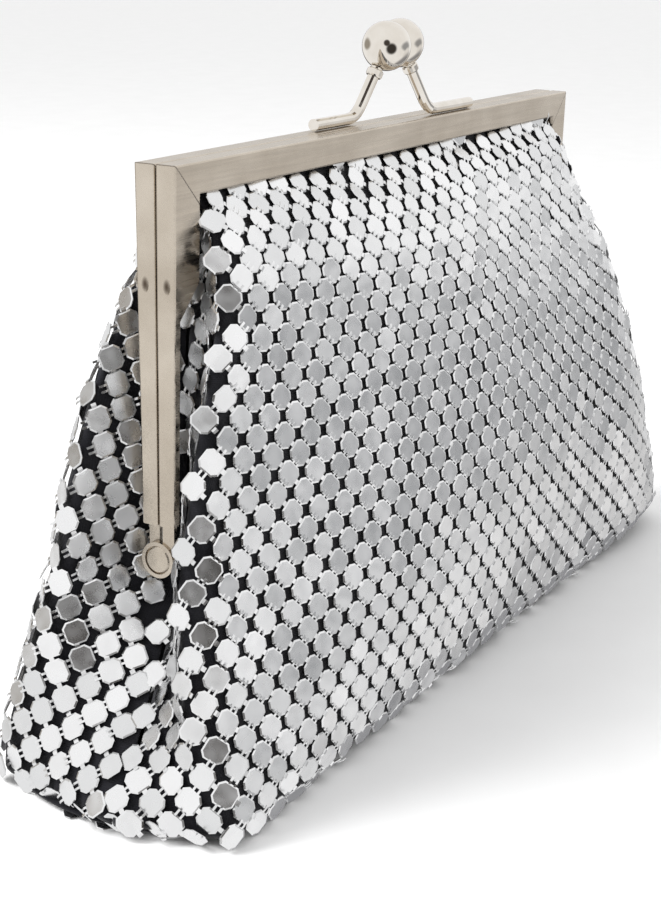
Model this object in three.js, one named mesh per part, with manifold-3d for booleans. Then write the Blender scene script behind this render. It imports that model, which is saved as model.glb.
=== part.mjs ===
// Kiss-lock evening bag: a metal-mesh pouch on a hinged channel frame with two snap balls.
// Millimetres, +Z up, +X along the frame, -Y the front. The origin is on the floor, below the
// middle of the frame. The bag stands closed on its base.
import * as THREE from 'three';
import { mergeVertices } from 'three/addons/utils/BufferGeometryUtils.js';
import Module from 'manifold-3d';

const wasm = await Module();
wasm.setup();

// ---- driving dimensions ----
const FRAME_LENGTH = 197;
const FRAME_TOP = 132.5;
const HINGE_HEIGHT = 49.5;
const HALF_DEPTH = 5; // depth of one half of the frame, front to back
const HALF_GAP = 0.3; // between the two closed halves
const BAR_HEIGHT = 6.6;
const PLATE = 0.85; // sheet thickness of the channel's faces
const TOP_WALL = 0.9;
const END_WALL = 1.0;
const FLANGE_WIDTH = 8.9; // face of a leg beside the mesh
const FLANGE_DROP = 18; // how far the wide face runs below the bar
const STRIP_WIDTH = 2.2; // face of a leg below that
const DIAGONAL_DROP = 7;
const LEG_END = 57; // height where a leg's channel stops, above its ear
const LEG_TAPER = 0.2; // share of its depth that a leg loses by the hinge
const EDGE_ROUND = 0.4;

const EAR_RADIUS = 4;
const BACK_EAR_RADIUS = 3.5;
const EAR_RECESS_RADIUS = 3.15;
const EAR_THICKNESS = 1.5;
const EAR_RECESS = 0.7;
const TAB_WIDTH = 2.6;
const RIVET_RADIUS = 1.42;
const PIVOT_HOLE = 1.5;
const RIVET_HEAD_RADIUS = 3;
const RIVET_BACK_RADIUS = 2.3;
const RIVET_HEAD_HEIGHT = 0.7;

const ROD_RADIUS = 1.4;
const BALL_RADIUS = 5.85;
const BALL_HEIGHT = 18; // ball centres above the frame's top
const BALL_SPREAD = 5.95; // ball centres either side of the middle
const BALL_CROSSING = 1.35; // each closed ball sits this far past the other half's side
const SOCKET_DEPTH = 3;
const COLLAR_RADIUS = 2;
const COLLAR_LENGTH = 1.8;
const FIT = 0.1; // small gap between fitted pieces

const MESH = 0.8; // thickness of the plaque mesh
const LINING = 0.4;
const LINING_GAP = 0.5;
const CORD_RADIUS = 0.6;
const SLIT = 0.6; // free edge of each mesh panel, from the middle plane
const CHANNEL_SLIT = 1.3; // the same, up inside the channel
const RIM = 50.5; // top of the standing pouch
const PANEL_FOOT = 52.2; // lower edge of the swinging panels
const LINING_RIM = 36;
const PANEL_TOP = 129;
const POINTS_PER_CONTROL = 2; // fineness of the body's level sections
const RIM_EASE = 1.6; // the pouch's rim stands this much outside the bag's line, the panels inside

// Stations of the bag's body: height, half length at the left, half length at the right,
// half depth, and where the side pleat's valley lies at the left and the right.
const STATIONS = [
  { z: 0, left: 117, right: 126, depth: 27.5, valleyL: 116, valleyR: 125 },
  { z: 3, left: 120.5, right: 130, depth: 29.6, valleyL: 119, valleyR: 128.5 },
  { z: 9, left: 121, right: 131.5, depth: 29.8, valleyL: 118, valleyR: 128 },
  { z: 25, left: 118, right: 130, depth: 27.3, valleyL: 108, valleyR: 117 },
  { z: 38, left: 115.2, right: 127, depth: 25, valleyL: 96, valleyR: 98 },
  { z: 50, left: 112.5, right: 123.5, depth: 22.8, valleyL: 84, valleyR: 84 },
  { z: 75, left: 106, right: 114.5, depth: 18.8, valleyL: 80, valleyR: 80 },
  { z: 92, left: 100, right: 105, depth: 16, valleyL: 80, valleyR: 80 },
  { z: 101, left: 93, right: 95.5, depth: 14.2, valleyL: 81, valleyR: 81 },
  { z: 107, left: 88.8, right: 88.8, depth: 13, valleyL: 82, valleyR: 82 },
  { z: 118, left: 88.4, right: 88.4, depth: 9.8, valleyL: 84, valleyR: 84 },
  { z: 124.5, left: 88.2, right: 88.2, depth: 4.4, valleyL: 86.5, valleyR: 86.5 },
  { z: 126, left: 88, right: 88, depth: 3.6, valleyL: 86.8, valleyR: 86.8 },
  { z: 129, left: 88, right: 88, depth: 3.6, valleyL: 86.8, valleyR: 86.8 },
];

// ---- finishes ----
const finish = (color, roughness, metalness) => new THREE.MeshStandardMaterial({ color, roughness, metalness });
const nickel = () => finish(0xcfc8bd, 0.22, 1);
const polished = () => finish(0xe6e2da, 0.06, 1);
const plaqueMesh = () => finish(0xd4d6d9, 0.25, 1);
const liningCloth = () => finish(0x0c0c10, 0.9, 0);
const paperCord = () => finish(0xb9a684, 0.95, 0);

const bag = new THREE.Group();

function addPiece(name, geometry, material) {
  const mesh = new THREE.Mesh(geometry, material);
  mesh.name = name;
  bag.add(mesh);
  return mesh;
}

// ---- joining and cutting ----
function toSolid(geometry) {
  const bare = geometry.clone();
  bare.deleteAttribute('normal');
  bare.deleteAttribute('uv');
  const merged = mergeVertices(bare, 1e-4);
  const vertProperties = new Float32Array(merged.attributes.position.array);
  const triVerts = new Uint32Array(merged.index.array);
  return new wasm.Manifold(new wasm.Mesh({ numProp: 3, vertProperties, triVerts }));
}

function toGeometry(solid) {
  const mesh = solid.getMesh();
  const geometry = new THREE.BufferGeometry();
  geometry.setAttribute('position', new THREE.BufferAttribute(mesh.vertProperties, 3));
  geometry.setIndex(new THREE.BufferAttribute(mesh.triVerts, 1));
  return geometry;
}

const box = (x0, x1, y0, y1, z0, z1) =>
  new THREE.BoxGeometry(x1 - x0, y1 - y0, z1 - z0).translate((x0 + x1) / 2, (y0 + y1) / 2, (z0 + z1) / 2);

// A disc whose axis is X, centred on the hinge line.
function hingeDisc(radius, x0, x1) {
  const disc = new THREE.CylinderGeometry(radius, radius, Math.abs(x1 - x0), 32);
  return disc.rotateZ(Math.PI / 2).translate((x0 + x1) / 2, 0, HINGE_HEIGHT);
}

// ---- frame ----
const END = FRAME_LENGTH / 2;
const UNDER_BAR = FRAME_TOP - BAR_HEIGHT;

// Front view of one half: a bar with a leg at each end, wide at first and then a narrow strip.
function halfOutline() {
  const wideEnd = UNDER_BAR - FLANGE_DROP;
  const leg = [
    [END, FRAME_TOP],
    [END, LEG_END],
    [END - STRIP_WIDTH, LEG_END],
    [END - STRIP_WIDTH, wideEnd - DIAGONAL_DROP],
    [END - FLANGE_WIDTH, wideEnd],
    [END - FLANGE_WIDTH, UNDER_BAR],
  ];
  const points = leg.map(([x, z]) => new THREE.Vector2(x, z));
  const mirrored = leg.map(([x, z]) => new THREE.Vector2(-x, z)).reverse();
  return new THREE.Shape([...points, ...mirrored]);
}

// The front half: y runs from -HALF_GAP/2 outwards to -HALF_DEPTH.
function channelHalf() {
  const depth = HALF_DEPTH - HALF_GAP / 2;
  const bar = new THREE.ExtrudeGeometry(halfOutline(), {
    depth: depth - 2 * EDGE_ROUND,
    bevelEnabled: true,
    bevelThickness: EDGE_ROUND,
    bevelSize: EDGE_ROUND,
    bevelOffset: -EDGE_ROUND,
    bevelSegments: 2,
  });
  bar.rotateX(Math.PI / 2).translate(0, -HALF_GAP / 2 - EDGE_ROUND, 0);
  const cavityInner = END - END_WALL;
  const cavity = box(
    -cavityInner, cavityInner, -HALF_DEPTH + PLATE, -HALF_GAP / 2 - PLATE, 0, FRAME_TOP - TOP_WALL,
  );
  const geometry = toGeometry(toSolid(bar).subtract(toSolid(cavity)));
  return taperLegs(geometry);
}

// Each half gets thinner, front to back, towards the hinge.
function taperLegs(geometry) {
  const position = geometry.attributes.position;
  for (let i = 0; i < position.count; i += 1) {
    const fall = (FRAME_TOP - position.getZ(i)) / (FRAME_TOP - LEG_END);
    position.setY(i, position.getY(i) * (1 - LEG_TAPER * fall));
  }
  return geometry;
}

const earOuter = END + EAR_THICKNESS - END_WALL;
const earInner = END - END_WALL;
const backEarOuter = earInner - HALF_GAP;
const backEarInner = backEarOuter - 1;
const legDepth = HALF_DEPTH * (1 - LEG_TAPER);

function sideBox(side, x0, x1, y0, y1, z0, z1) {
  return box(Math.min(side * x0, side * x1), Math.max(side * x0, side * x1), y0, y1, z0, z1);
}

// The front leg carries the outer ear: a round lug with a recess for the rivet's head.
function addFrontEar(solid, side) {
  const strap = sideBox(side, earInner, END, -legDepth, -1.1, HINGE_HEIGHT, LEG_END + 1);
  const lug = toSolid(hingeDisc(EAR_RADIUS, side * earInner, side * earOuter));
  const recess = toSolid(hingeDisc(EAR_RECESS_RADIUS, side * (earOuter - EAR_RECESS), side * (earOuter + 1)));
  const hole = toSolid(hingeDisc(PIVOT_HOLE, side * (earInner - 1), side * (earOuter + 1)));
  return solid.add(toSolid(strap)).add(lug).subtract(recess).subtract(hole);
}

// The back leg stops short, and a narrow tab behind the front ear carries the inner ear.
function addBackEar(solid, side) {
  const tabStart = 0.6;
  const tab = sideBox(side, backEarInner, backEarOuter, tabStart, tabStart + TAB_WIDTH, HINGE_HEIGHT, LEG_END + 3);
  const block = sideBox(side, backEarInner, END - 0.2, tabStart, tabStart + TAB_WIDTH, LEG_END + 0.5, LEG_END + 3);
  const ear = toSolid(hingeDisc(BACK_EAR_RADIUS, side * backEarInner, side * backEarOuter));
  const hole = toSolid(hingeDisc(PIVOT_HOLE, side * (backEarInner - 1), side * (backEarOuter + 1)));
  return solid.add(toSolid(tab)).add(toSolid(block)).add(ear).subtract(hole);
}

function frontFrame() {
  let solid = toSolid(channelHalf());
  for (const side of [-1, 1]) solid = addFrontEar(solid, side);
  return toGeometry(solid);
}

function backFrame() {
  let solid = toSolid(channelHalf().rotateZ(Math.PI));
  for (const side of [-1, 1]) solid = addBackEar(solid, side);
  return toGeometry(solid);
}

addPiece('front_frame', frontFrame(), nickel());
addPiece('back_frame', backFrame(), nickel());

// ---- hinge rivets: a domed head in the ear's recess, a shank, and a peened back end ----
function rivet(side) {
  const headBase = earOuter - EAR_RECESS + FIT;
  const backBase = backEarInner - FIT;
  const profile = [
    [0, backBase - RIVET_HEAD_HEIGHT],
    [RIVET_BACK_RADIUS - 0.3, backBase - RIVET_HEAD_HEIGHT],
    [RIVET_BACK_RADIUS, backBase - RIVET_HEAD_HEIGHT + 0.3],
    [RIVET_BACK_RADIUS, backBase],
    [RIVET_RADIUS, backBase],
    [RIVET_RADIUS, headBase],
    [RIVET_HEAD_RADIUS, headBase],
    [RIVET_HEAD_RADIUS, headBase + 0.35],
    [RIVET_HEAD_RADIUS - 0.35, headBase + 0.6],
    [0, headBase + RIVET_HEAD_HEIGHT],
  ].map(([radius, along]) => new THREE.Vector2(radius, along));
  const turned = new THREE.LatheGeometry(profile, 32);
  return turned.rotateZ(side < 0 ? Math.PI / 2 : -Math.PI / 2).translate(0, 0, HINGE_HEIGHT);
}

addPiece('left_hinge_rivet', rivet(-1), nickel());
addPiece('right_hinge_rivet', rivet(1), nickel());

// ---- kiss-lock clasp ----
// Each stem lies along the frame's top on its own half, bends up and leans across the other half.
const rodHeight = FRAME_TOP + ROD_RADIUS + FIT;
const CLASPS = {
  front: { side: 1, footEnd: 38, bend: 14.6, y: -2.5 },
  back: { side: -1, footEnd: 33, bend: 13.6, y: 2.5 },
};

function claspRoute({ side, footEnd, bend, y }) {
  const ball = new THREE.Vector3(side * BALL_SPREAD, -Math.sign(y) * BALL_CROSSING, FRAME_TOP + BALL_HEIGHT);
  const corner = new THREE.Vector3(side * bend, y, rodHeight);
  const foot = new THREE.Vector3(side * footEnd, y, rodHeight);
  const lean = ball.clone().sub(corner).normalize();
  return { ball, corner, foot, lean };
}

function claspStem(clasp) {
  const { ball, corner, foot, lean } = claspRoute(clasp);
  const bendSize = 3.2;
  const beforeBend = corner.clone().add(new THREE.Vector3(clasp.side * bendSize, 0, 0));
  const afterBend = corner.clone().addScaledVector(lean, bendSize);
  const tip = ball.clone().addScaledVector(lean, SOCKET_DEPTH - BALL_RADIUS - FIT);
  const path = new THREE.CurvePath();
  path.add(new THREE.LineCurve3(foot, beforeBend));
  path.add(new THREE.QuadraticBezierCurve3(beforeBend, corner, afterBend));
  path.add(new THREE.LineCurve3(afterBend, tip));
  const section = new THREE.Shape().absarc(0, 0, ROD_RADIUS, 0, 2 * Math.PI);
  return new THREE.ExtrudeGeometry(section, { steps: 26, curveSegments: 7, extrudePath: path });
}

function placeAlong(geometry, centre, direction) {
  const turn = new THREE.Quaternion().setFromUnitVectors(new THREE.Vector3(0, 1, 0), direction);
  return geometry.applyQuaternion(turn).translate(centre.x, centre.y, centre.z);
}

// A ball with a blind socket for the stem's tip.
function claspBall(clasp) {
  const { ball, lean } = claspRoute(clasp);
  const sphere = new THREE.SphereGeometry(BALL_RADIUS, 24, 16).translate(ball.x, ball.y, ball.z);
  const reach = BALL_RADIUS - SOCKET_DEPTH / 2 + 1;
  const mouth = ball.clone().addScaledVector(lean, -reach);
  const socket = new THREE.CylinderGeometry(ROD_RADIUS + FIT, ROD_RADIUS + FIT, SOCKET_DEPTH + 2, 20);
  return toGeometry(toSolid(sphere).subtract(toSolid(placeAlong(socket, mouth, lean))));
}

function claspCollar(clasp) {
  const { ball, lean } = claspRoute(clasp);
  const inner = ROD_RADIUS + FIT;
  const half = COLLAR_LENGTH / 2;
  const profile = [
    [inner, -half],
    [COLLAR_RADIUS - 0.2, -half],
    [COLLAR_RADIUS, -half + 0.3],
    [COLLAR_RADIUS, half - 0.3],
    [COLLAR_RADIUS - 0.2, half],
    [inner, half],
    [inner, -half],
  ].map(([radius, along]) => new THREE.Vector2(radius, along));
  const ring = new THREE.LatheGeometry(profile, 20);
  const centre = ball.clone().addScaledVector(lean, -BALL_RADIUS - half - 0.25);
  return placeAlong(ring, centre, lean);
}

for (const [half, clasp] of Object.entries(CLASPS)) {
  addPiece(`${half}_clasp_stem`, claspStem(clasp), polished());
  addPiece(`${half}_clasp_ball`, claspBall(clasp), polished());
  addPiece(`${half}_clasp_collar`, claspCollar(clasp), polished());
}

// ---- body ----
// Smooth value of one measure of the body at a height, between its stations.
function bodyMeasure(key, z) {
  const last = STATIONS.length - 1;
  let i = 0;
  while (i < last - 1 && z > STATIONS[i + 1].z) i += 1;
  const slope = (a, b) => (STATIONS[b][key] - STATIONS[a][key]) / (STATIONS[b].z - STATIONS[a].z);
  const middle = slope(i, i + 1);
  const blendSlope = (a, b) => (a * b <= 0 ? 0 : (2 * a * b) / (a + b));
  const before = i > 0 ? blendSlope(slope(i - 1, i), middle) : middle;
  const after = i < last - 1 ? blendSlope(middle, slope(i + 1, i + 2)) : middle;
  const span = STATIONS[i + 1].z - STATIONS[i].z;
  const t = (z - STATIONS[i].z) / span;
  return (
    (2 * t ** 3 - 3 * t ** 2 + 1) * STATIONS[i][key] + (t ** 3 - 2 * t ** 2 + t) * span * before
    + (-2 * t ** 3 + 3 * t ** 2) * STATIONS[i + 1][key] + (t ** 3 - t ** 2) * span * after
  );
}

// One end's control points, from the pleat's valley round the front corner to the front's middle.
// ease moves the front face out and leaves the pleat where it is.
function endControls(length, valley, depth, ease, side) {
  const corner = Math.min(0.42 * depth, 8);
  const tuck = length - valley;
  return [
    [valley, 0],
    [valley + 0.45 * tuck, 0.34 * depth],
    [length + 0.5 * ease, depth - 1.1 * corner],
    [length - 0.3 * corner + 0.5 * ease, depth - 0.3 * corner + ease],
    [length - 1.4 * corner, depth + ease],
    [0.5 * length, 0.97 * depth + ease],
  ].map(([x, y]) => new THREE.Vector3(side * x, -y, 0));
}

// Half of the bag's level section, from the left valley round the front to the right valley.
function frontControls(z, ease) {
  const depth = bodyMeasure('depth', z);
  const left = endControls(bodyMeasure('left', z), bodyMeasure('valleyL', z), depth, ease, -1);
  const right = endControls(bodyMeasure('right', z), bodyMeasure('valleyR', z), depth, ease, 1);
  return [...left, new THREE.Vector3(0, -0.955 * depth - ease, 0), ...right.reverse()];
}

// The ring round the whole bag at a height, with a fixed number of points between controls.
function levelRing(z, ease) {
  const front = frontControls(z, ease);
  const back = front.slice(1, -1).map((p) => new THREE.Vector3(p.x, -p.y, 0)).reverse();
  const curve = new THREE.CatmullRomCurve3([...front, ...back], true, 'centripetal');
  const count = (front.length + back.length) * POINTS_PER_CONTROL;
  const ring = [];
  for (let i = 0; i < count; i += 1) {
    const point = curve.getPoint(i / count);
    ring.push(new THREE.Vector3(point.x, point.y, z));
  }
  return { ring, frontCount: (front.length - 1) * POINTS_PER_CONTROL };
}

// Grid points moved along the surface's inward normal. insetAt gives the distance at a height.
function insetGrid(grid, insetAt, closed) {
  const columns = grid[0].length;
  return grid.map((row, j) => row.map((point, i) => {
    const next = closed ? (i + 1) % columns : Math.min(i + 1, columns - 1);
    const previous = closed ? (i + columns - 1) % columns : Math.max(i - 1, 0);
    const around = row[next].clone().sub(row[previous]);
    const up = grid[Math.min(j + 1, grid.length - 1)][i].clone().sub(grid[Math.max(j - 1, 0)][i]);
    const inward = up.cross(around).normalize();
    if (closed) inward.setZ(0).normalize();
    return point.clone().addScaledVector(inward, insetAt(point.z));
  }));
}

function gridFaces(rows, columns, closed, at, flip) {
  const faces = [];
  const last = closed ? columns : columns - 1;
  for (let j = 0; j < rows - 1; j += 1) {
    for (let i = 0; i < last; i += 1) {
      const k = (i + 1) % columns;
      const [a, b, c, d] = [at(j, i), at(j, k), at(j + 1, k), at(j + 1, i)];
      faces.push(...(flip ? [a, c, b, a, d, c] : [a, b, c, a, c, d]));
    }
  }
  return faces;
}

function meshFrom(points, faces) {
  const geometry = new THREE.BufferGeometry().setFromPoints(points);
  geometry.setIndex(faces);
  return geometry;
}

// Sides of an open sheet, joining the outer grid's border to the inner grid's border.
function borderFaces(rows, columns, outerAt, innerAt) {
  const border = [];
  for (let i = 0; i < columns - 1; i += 1) border.push([0, i]);
  for (let j = 0; j < rows - 1; j += 1) border.push([j, columns - 1]);
  for (let i = columns - 1; i > 0; i -= 1) border.push([rows - 1, i]);
  for (let j = rows - 1; j > 0; j -= 1) border.push([j, 0]);
  const faces = [];
  border.forEach(([j, i], n) => {
    const [jn, inext] = border[(n + 1) % border.length];
    faces.push(outerAt(j, i), innerAt(j, i), innerAt(jn, inext));
    faces.push(outerAt(j, i), innerAt(jn, inext), outerAt(jn, inext));
  });
  return faces;
}

// An open curved sheet of even thickness, its outer face inset from the body's surface.
function sheetSolid(grid, insetAt, thickness) {
  const rows = grid.length;
  const columns = grid[0].length;
  const outer = insetGrid(grid, insetAt, false);
  const inner = insetGrid(grid, (z) => insetAt(z) + thickness, false);
  const outerAt = (j, i) => j * columns + i;
  const innerAt = (j, i) => rows * columns + j * columns + i;
  const faces = [
    ...gridFaces(rows, columns, false, outerAt, false),
    ...gridFaces(rows, columns, false, innerAt, true),
    ...borderFaces(rows, columns, outerAt, innerAt),
  ];
  return meshFrom([...outer.flat(), ...inner.flat()], faces);
}

// A cup of even thickness: wall, rim and flat base.
function cupSolid(grid, inset, thickness) {
  const rows = grid.length;
  const columns = grid[0].length;
  const outer = insetGrid(grid, () => inset, true);
  const inner = insetGrid(grid, () => inset + thickness, true);
  const floor = outer[0][0].z + inset;
  outer[0].forEach((point) => point.setZ(floor));
  inner[0].forEach((point) => point.setZ(floor + thickness));
  const points = [...outer.flat(), ...inner.flat()];
  const outerAt = (j, i) => j * columns + i;
  const innerAt = (j, i) => rows * columns + j * columns + i;
  const faces = [
    ...gridFaces(rows, columns, true, outerAt, false),
    ...gridFaces(rows, columns, true, innerAt, true),
  ];
  const under = points.push(new THREE.Vector3(0, 0, floor)) - 1;
  const inside = points.push(new THREE.Vector3(0, 0, floor + thickness)) - 1;
  for (let i = 0; i < columns; i += 1) {
    const k = (i + 1) % columns;
    faces.push(under, outerAt(0, k), outerAt(0, i));
    faces.push(inside, innerAt(0, i), innerAt(0, k));
    faces.push(outerAt(rows - 1, i), outerAt(rows - 1, k), innerAt(rows - 1, k));
    faces.push(outerAt(rows - 1, i), innerAt(rows - 1, k), innerAt(rows - 1, i));
  }
  return meshFrom(points, faces);
}

// The panels stand inside the bag's line near the rim, and the pouch outside it, so that the
// panels swing down inside the rim when the bag opens.
const panelInset = (z) => RIM_EASE * Math.max(0, 1 - (z - RIM) / 40);
const pouchEase = (z) => RIM_EASE * Math.max(0, 1 - (RIM - z) / 25);
const slitAt = (z) => SLIT + (CHANNEL_SLIT - SLIT) * THREE.MathUtils.smoothstep(z, UNDER_BAR - 10, UNDER_BAR);

// The front panel's grid: round the front only, its free edges kept off the middle plane.
function panelGrid(heights) {
  return heights.map((z) => {
    const { ring, frontCount } = levelRing(z, 0);
    const row = ring.slice(0, frontCount + 1);
    row.forEach((point) => point.setY(Math.min(point.y, -slitAt(z))));
    return row;
  });
}

const pouchGrid = (heights) => heights.map((z) => levelRing(z, pouchEase(z)).ring);

// The back panel is the front panel's twin across the middle plane.
function mirrored(geometry) {
  const twin = geometry.clone();
  const position = twin.attributes.position;
  for (let i = 0; i < position.count; i += 1) position.setY(i, -position.getY(i));
  const index = twin.index.array;
  for (let i = 0; i < index.length; i += 3) [index[i], index[i + 1]] = [index[i + 1], index[i]];
  return twin;
}

const POUCH_HEIGHTS = [0, 3, 9, 20, LINING_RIM, 43, RIM];
const PANEL_HEIGHTS = [PANEL_FOOT, 62, 74, 86, 94, 101, 107, 115, 121, 124.5, 126, PANEL_TOP];
const LINED_POUCH = POUCH_HEIGHTS.filter((z) => z <= LINING_RIM);
const liningInset = MESH + LINING_GAP;

const meshPanel = sheetSolid(panelGrid(PANEL_HEIGHTS), panelInset, MESH);
const panelLining = sheetSolid(panelGrid(PANEL_HEIGHTS), (z) => panelInset(z) + liningInset, LINING);

addPiece('mesh_pouch', cupSolid(pouchGrid(POUCH_HEIGHTS), 0, MESH), plaqueMesh());
addPiece('pouch_lining', cupSolid(pouchGrid(LINED_POUCH), liningInset, LINING), liningCloth());
addPiece('front_mesh_panel', meshPanel, plaqueMesh());
addPiece('back_mesh_panel', mirrored(meshPanel), plaqueMesh());
addPiece('front_lining', panelLining, liningCloth());
addPiece('back_lining', mirrored(panelLining), liningCloth());

// ---- cords that pack the mesh and lining into the channels ----
function channelCord(side) {
  const length = 172;
  const y = side * 1.66;
  const z = FRAME_TOP - TOP_WALL - CORD_RADIUS - 1.2;
  return new THREE.CylinderGeometry(CORD_RADIUS, CORD_RADIUS, length, 10).rotateZ(Math.PI / 2).translate(0, y, z);
}

addPiece('front_channel_cord', channelCord(-1), paperCord());
addPiece('back_channel_cord', channelCord(1), paperCord());

export default bag;
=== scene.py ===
"""Looks for the kiss-lock evening bag: octagonal metal plaques laid over a pleated pouch, black
lining, brushed nickel frame and polished clasp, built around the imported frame.
Lengths in this file are millimetres until a mesh is made, and +Z is up, -Y is the front."""

import math

import bpy
import numpy as np
from mathutils import Matrix, Vector


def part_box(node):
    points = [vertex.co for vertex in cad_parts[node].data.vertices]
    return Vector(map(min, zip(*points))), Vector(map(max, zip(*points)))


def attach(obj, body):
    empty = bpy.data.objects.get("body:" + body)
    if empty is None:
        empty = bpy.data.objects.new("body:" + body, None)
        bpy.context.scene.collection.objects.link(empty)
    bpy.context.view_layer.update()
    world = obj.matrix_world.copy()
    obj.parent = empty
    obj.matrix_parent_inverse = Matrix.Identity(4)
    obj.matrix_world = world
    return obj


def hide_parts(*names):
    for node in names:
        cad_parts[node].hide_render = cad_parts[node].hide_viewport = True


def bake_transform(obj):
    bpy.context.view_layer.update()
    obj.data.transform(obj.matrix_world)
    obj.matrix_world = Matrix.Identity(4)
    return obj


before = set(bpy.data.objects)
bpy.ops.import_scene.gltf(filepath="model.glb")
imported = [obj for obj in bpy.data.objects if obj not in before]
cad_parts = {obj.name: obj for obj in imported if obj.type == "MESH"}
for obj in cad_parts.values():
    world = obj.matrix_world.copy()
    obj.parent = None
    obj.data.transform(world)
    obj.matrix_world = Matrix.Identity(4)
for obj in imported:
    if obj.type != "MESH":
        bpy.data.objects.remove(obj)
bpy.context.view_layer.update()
MM = 0.001
RNG = np.random.default_rng(7)

# ---- the bag's body ----
# Height; half length at the left and right; half depth of the front near its left corner, in
# its middle and near its right corner; the same of the back; where the side pleat's valley lies
# at the left and at the right; and how far forward of the middle the left valley runs.
STATIONS = np.array([
    (0, 119.6, 120, 30.2, 28.6, 29, 27.2, 24, 21, 125.8, 119.4, 8),
    (1.2, 120.8, 123.2, 32, 31, 31.8, 27.8, 26.6, 22.6, 127.3, 122.2, 8),
    (3.5, 121.4, 125.5, 32.8, 32.6, 33.4, 28.2, 28.5, 24, 128.2, 124, 8),
    (9, 121, 127.3, 32.4, 34.6, 35.4, 28.6, 30, 25, 124.5, 124, 8),
    (16, 120, 124.5, 31, 35.4, 35.8, 28.8, 30.5, 25.4, 117.5, 118, 7),
    (27, 117.6, 120, 28.4, 36, 35.8, 27.2, 30.5, 25.2, 107.5, 108, 4.5),
    (38, 115.2, 115.5, 25.6, 35.4, 34.8, 25, 29.5, 24.4, 97, 97, 1.5),
    (50, 112.5, 114, 22.8, 33.8, 32.5, 22.8, 27, 22.8, 88.5, 88.5, 0),
    (75, 106.5, 108.5, 19.2, 27.9, 25.5, 18.8, 22, 18.8, 88.5, 88.5, 0),
    (92, 99.6, 102.5, 17, 22.6, 19.8, 16.4, 18, 16, 89, 89, 0),
    (101, 94.6, 96.5, 15.6, 19.4, 16.3, 14.8, 15.6, 14.2, 88.3, 88.3, 0),
    (107, 92.4, 93, 14.6, 17, 13.8, 13.4, 14, 13, 86.2, 86.2, 0),
    (112, 91.2, 91.5, 13, 14.4, 12, 11.9, 12.4, 11.8, 85.4, 85.4, 0),
    (118, 89.8, 89.8, 10.4, 10.6, 9.8, 9.8, 9.8, 9.8, 85.2, 85.2, 0),
    (124.5, 88.2, 88.2, 4.4, 4.4, 4.4, 4.4, 4.4, 4.4, 86.5, 86.5, 0),
    (126, 88, 88, 3.6, 3.6, 3.6, 3.6, 3.6, 3.6, 86.8, 86.8, 0),
    (129, 88, 88, 3.6, 3.6, 3.6, 3.6, 3.6, 3.6, 86.8, 86.8, 0),
])
LEFT, RIGHT, FRONT, BACK, VALLEY_LEFT, VALLEY_RIGHT, VALLEY_FORWARD = 1, 2, 3, 6, 9, 10, 11

# ---- plaques ----
PITCH = 6.0
HALF = PITCH / math.sqrt(2)  # columns and rows of the slanted lattice are this far apart
COLUMNS, ROWS = 41, 38  # columns to each side of the middle, and rows
FIRST_ROW = -2.8  # distance of the first row from the floor, measured along the face
PINNED_ROWS = 9  # rows whose last column lies on the pleat's valley
FRONT_PAST, BACK_PAST = 1.8, 3.4  # how far past the valley a face still carries plaques
FULL_BELOW, REDUCED_BELOW = 46.0, 104.0  # up to the hinge in full, then up to the top corner less
REDUCED = 0.55  # share of it between those heights
STOP_SHORT = 0.6  # above them the plaques stop this far before the valley
LOWEST, LOWEST_AT_LEFT, HIGHEST = 1.0, -1.5, 127.0  # heights of the plaques' centres
LEFT_END = -85.0  # left of this the sheet reaches lower
RELAX_STEPS = 700
CLOSEST = 3.8  # a back plaque nearer than this to a front one is left out
PLAQUE_ACROSS = 5.15  # towards the neighbours joined by one knuckle
PLAQUE_ALONG = 5.05  # towards the neighbours joined by two tabs
CORNER_CUT = 0.21
BEVEL = 0.34
BEVEL_DROP = 0.16
PLAQUE_THICKNESS = 0.36
LINING_INSET = 1.1
LEAN = 8.0  # degrees by which the front's plaques turn towards the left end
LINING_THICKNESS = 0.3
BASE_EDGE = 2.4  # from the base's outline to the centres of its outer plaques


def station_slopes(column):
    """Monotone slopes of one measure at each station."""
    z, v = STATIONS[:, 0], STATIONS[:, column]
    steps = np.diff(v) / np.diff(z)
    slopes = np.empty(len(v))
    slopes[0], slopes[-1] = steps[0], steps[-1]
    a, b = steps[:-1], steps[1:]
    total = np.where(a * b > 0, a + b, 1.0)
    slopes[1:-1] = np.where(a * b > 0, 2 * a * b / total, 0.0)
    return slopes


def measure(column, z):
    """Smooth value of one measure of the body at heights z."""
    zs, v, d = STATIONS[:, 0], STATIONS[:, column], station_slopes(column)
    z = np.clip(z, zs[0], zs[-1])
    i = np.clip(np.searchsorted(zs, z, side="left") - 1, 0, len(zs) - 2)
    span = zs[i + 1] - zs[i]
    t = (z - zs[i]) / span
    return (
        (2 * t**3 - 3 * t**2 + 1) * v[i]
        + (t**3 - 2 * t**2 + t) * span * d[i]
        + (3 * t**2 - 2 * t**3) * v[i + 1]
        + (t**3 - t**2) * span * d[i + 1]
    )


def end_controls(z, length, valley, forward, depth, corner, side):
    """One end's control points, from the pleat's valley round the corner."""
    out = np.interp(z, (50, 75, 92, 97, 102, 107, 112, 118),
                    (0.45, 0.38, 0.3, 0.35, 0.5, 0.65, 0.7, 0.7))
    ahead = np.interp(z, (50, 75, 92, 118), (0.34, 0.42, 0.52, 0.5))
    points = [
        (valley, forward),
        (valley + out * (length - valley), forward + ahead * (depth - forward)),
        (length, depth - 1.1 * corner),
        (length - 0.3 * corner, depth - 0.3 * corner),
        (length - 1.4 * corner, depth),
    ]
    return [np.stack([side * x, -y], -1) for x, y in points]


def valley_forward(z, face):
    """How far forward the left valley runs, as seen on one face."""
    return measure(VALLEY_FORWARD, z) * (1 if face == FRONT else -1)


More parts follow.
